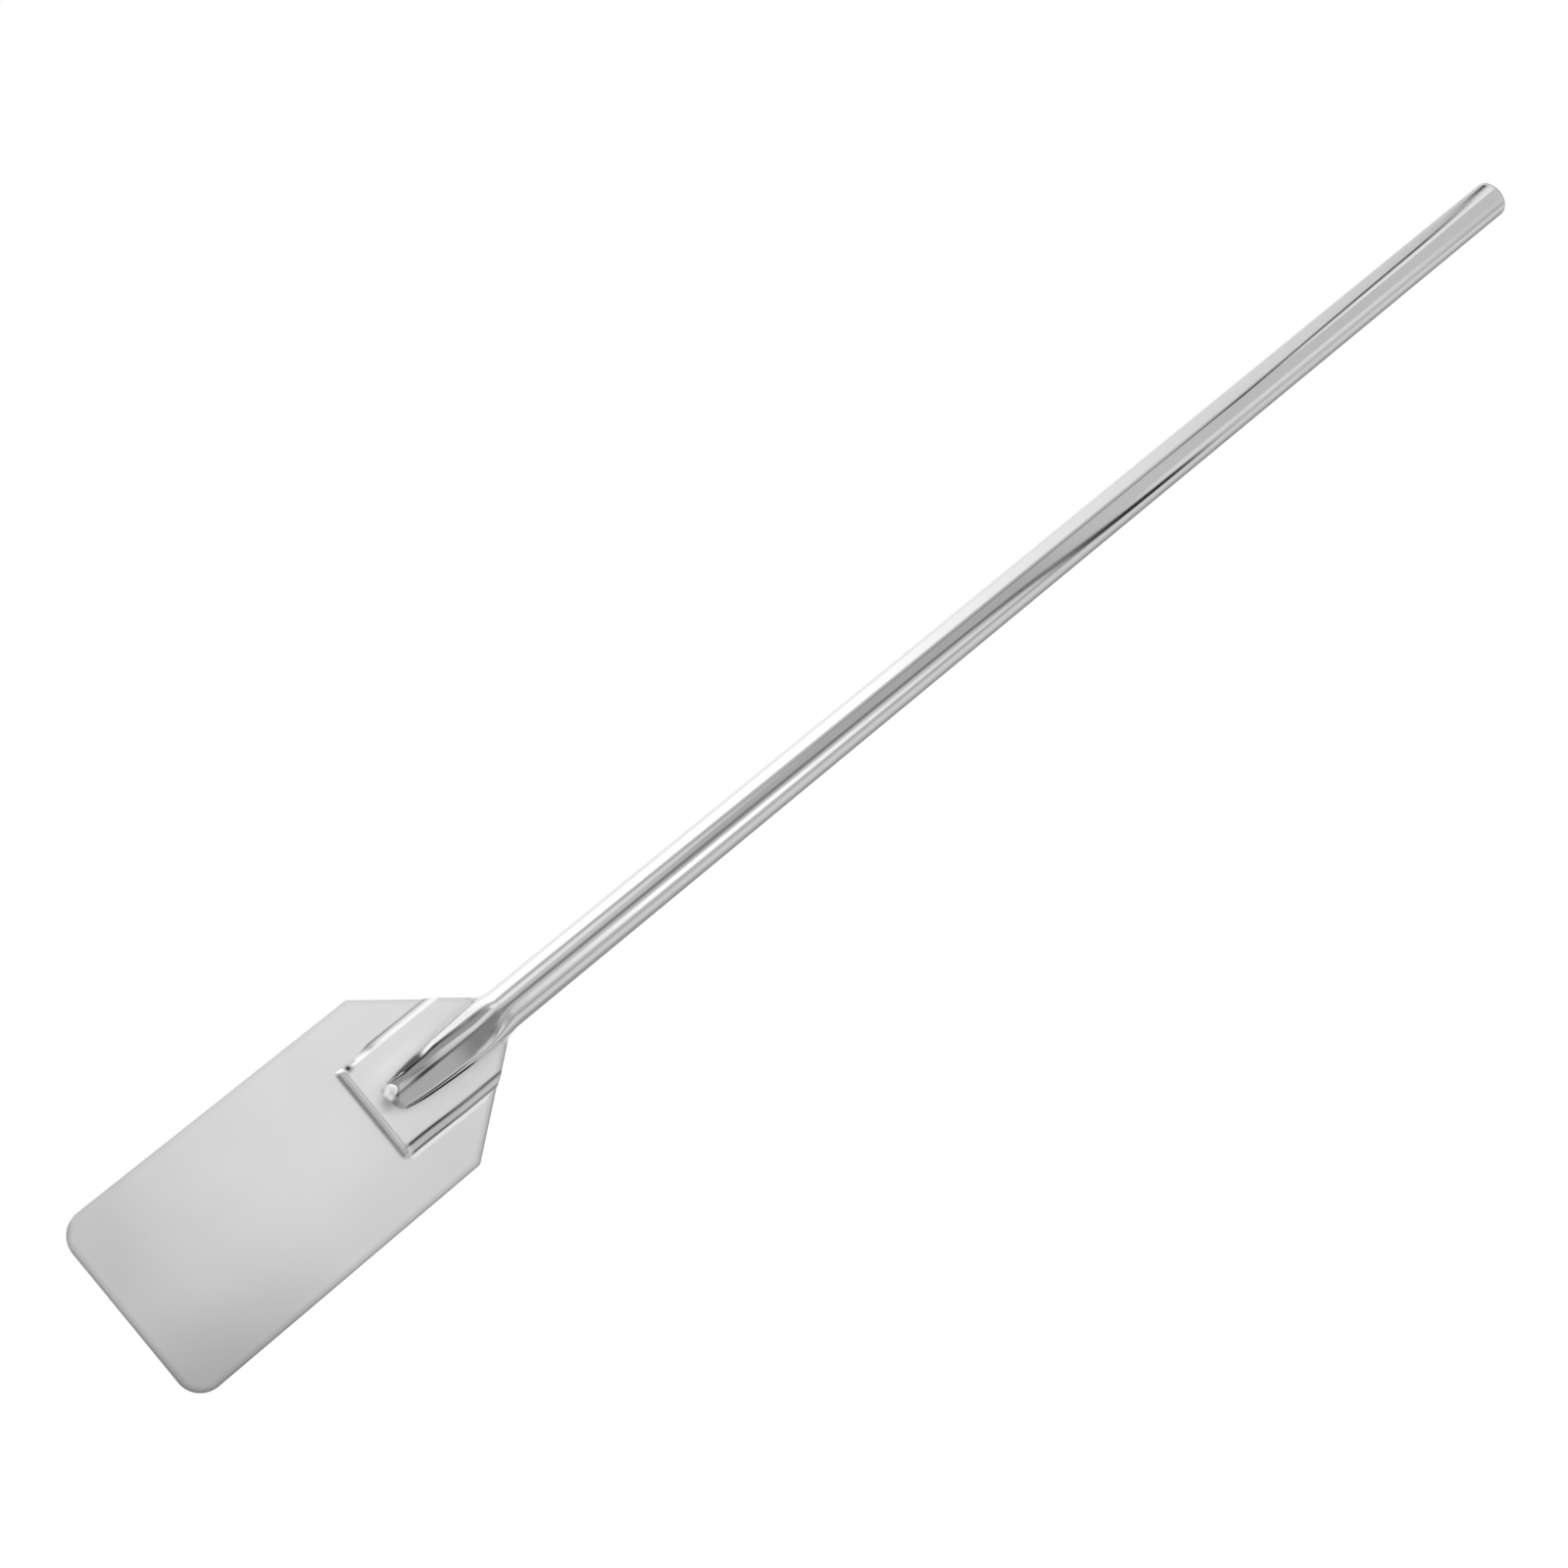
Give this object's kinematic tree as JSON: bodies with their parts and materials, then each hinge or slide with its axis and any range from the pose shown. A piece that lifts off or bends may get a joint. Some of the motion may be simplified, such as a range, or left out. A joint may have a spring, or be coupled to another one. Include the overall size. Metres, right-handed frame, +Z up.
{
  "type": "mortar mixing paddle",
  "caption": "Long-handled stainless mixing paddle: a flat blade with rounded corners and a raised panel, welded to a straight round tube handle with a closed end.",
  "frame": {"origin": "on the handle's axis, level with the blade's end edge, which is the bottom centre of the whole part's box", "axes": "+Z up the handle from the blade's end edge to the closed end, X across the blade's width, -Y the front, the side towards which the panel is raised"},
  "size_m": [0.1142, 0.0254, 1.2192],
  "materials": {
    "satin_sheet": "satin, very fine grain",
    "polished_tube": "polished, fine drawing lines along its length",
    "polished_cap": "polished, fine circular grain",
    "weld_metal": "dressed and polished weld bead"
  },
  "bodies": {
    "root": {"blade": "satin_sheet", "handle_tube": "polished_tube", "handle_end_cap": "polished_cap", "end_cap_weld": "weld_metal", "nose_weld_front": "weld_metal", "nose_weld_back": "weld_metal", "seam_weld_front_left": "weld_metal", "seam_weld_front_right": "weld_metal", "seam_weld_back_left": "weld_metal", "seam_weld_back_right": "weld_metal", "shoulder_weld_left": "weld_metal", "shoulder_weld_right": "weld_metal"}
  },
  "joints": []
}
